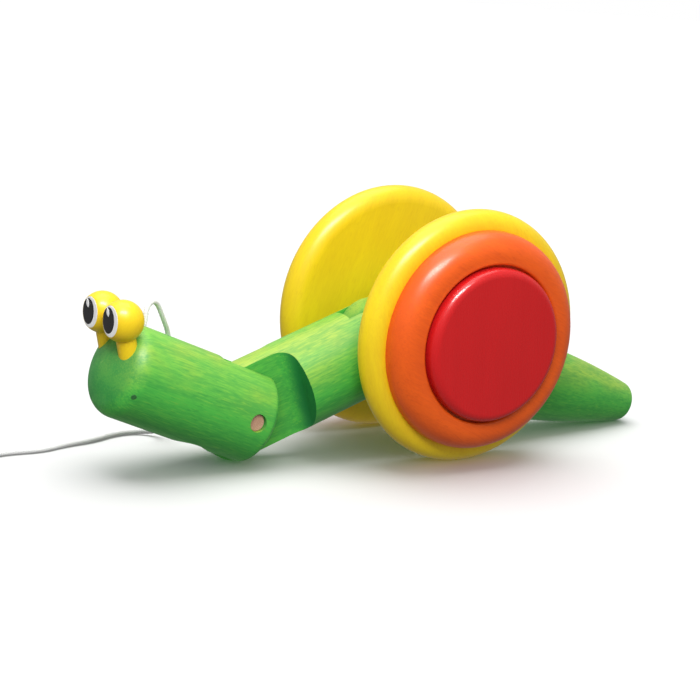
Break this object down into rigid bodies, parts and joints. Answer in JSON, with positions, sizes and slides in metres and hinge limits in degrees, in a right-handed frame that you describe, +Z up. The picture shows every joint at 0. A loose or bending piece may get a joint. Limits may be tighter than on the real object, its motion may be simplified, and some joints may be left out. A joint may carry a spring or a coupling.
{
  "type": "pull-along toy",
  "caption": "Wooden pull-along snail: shell of stacked wheel discs, hinged dowel body with head and tail, eyes on stalks and a cord with a bead.",
  "frame": {"origin": "on the floor under the middle of the toy without its cord, in the plane between its two wheels", "axes": "+X from the head to the tail, +Y to the toy's right side, +Z up; wheels, head and tail stand on the floor"},
  "size_m": [0.3357, 0.104, 0.1],
  "materials": {
    "rim_paint": "satin lacquer, yellow stain",
    "middle_paint": "satin lacquer, orange stain",
    "button_paint": "satin lacquer, red stain",
    "body_stain": "satin lacquer, green stain",
    "eye_stain": "satin lacquer, yellow stain",
    "plain_wood": "bare beech",
    "cord": "braided cotton",
    "nail": "dull wire"
  },
  "bodies": {
    "body": {"body_block": "body_stain"},
    "head": {"head_block": "body_stain", "hinge_pin": "plain_wood", "eye_peg_left": "eye_stain", "eye_peg_right": "eye_stain", "cord_brad": "nail", "pull_cord": "cord", "cord_coil": "cord", "cord_end": "cord", "pull_bead": "button_paint"},
    "tail": {"tail_block": "body_stain"},
    "wheels": {"wheel_axle": "plain_wood", "rim_disc_left": "rim_paint", "rim_disc_right": "rim_paint", "middle_disc_left": "middle_paint", "middle_disc_right": "middle_paint", "hub_button_left": "button_paint", "hub_button_right": "button_paint", "axle_spacer_left": "plain_wood", "axle_spacer_right": "plain_wood"}
  },
  "joints": [
    {"name": "head_hinge", "type": "hinge", "parent": "body", "child": "head", "pos_m": [-0.06883, 0, 0.01904], "axis": [0, 1, 0], "range_deg": [0, 22]},
    {"name": "tail_hinge", "type": "hinge", "parent": "body", "child": "tail", "pos_m": [0.0177, 0, 0.05], "axis": [0, -1, 0], "range_deg": [-55, 80]},
    {"name": "wheel_spin", "type": "hinge", "parent": "body", "child": "wheels", "pos_m": [0.0177, 0, 0.05], "axis": [0, 1, 0], "continuous": true}
  ]
}
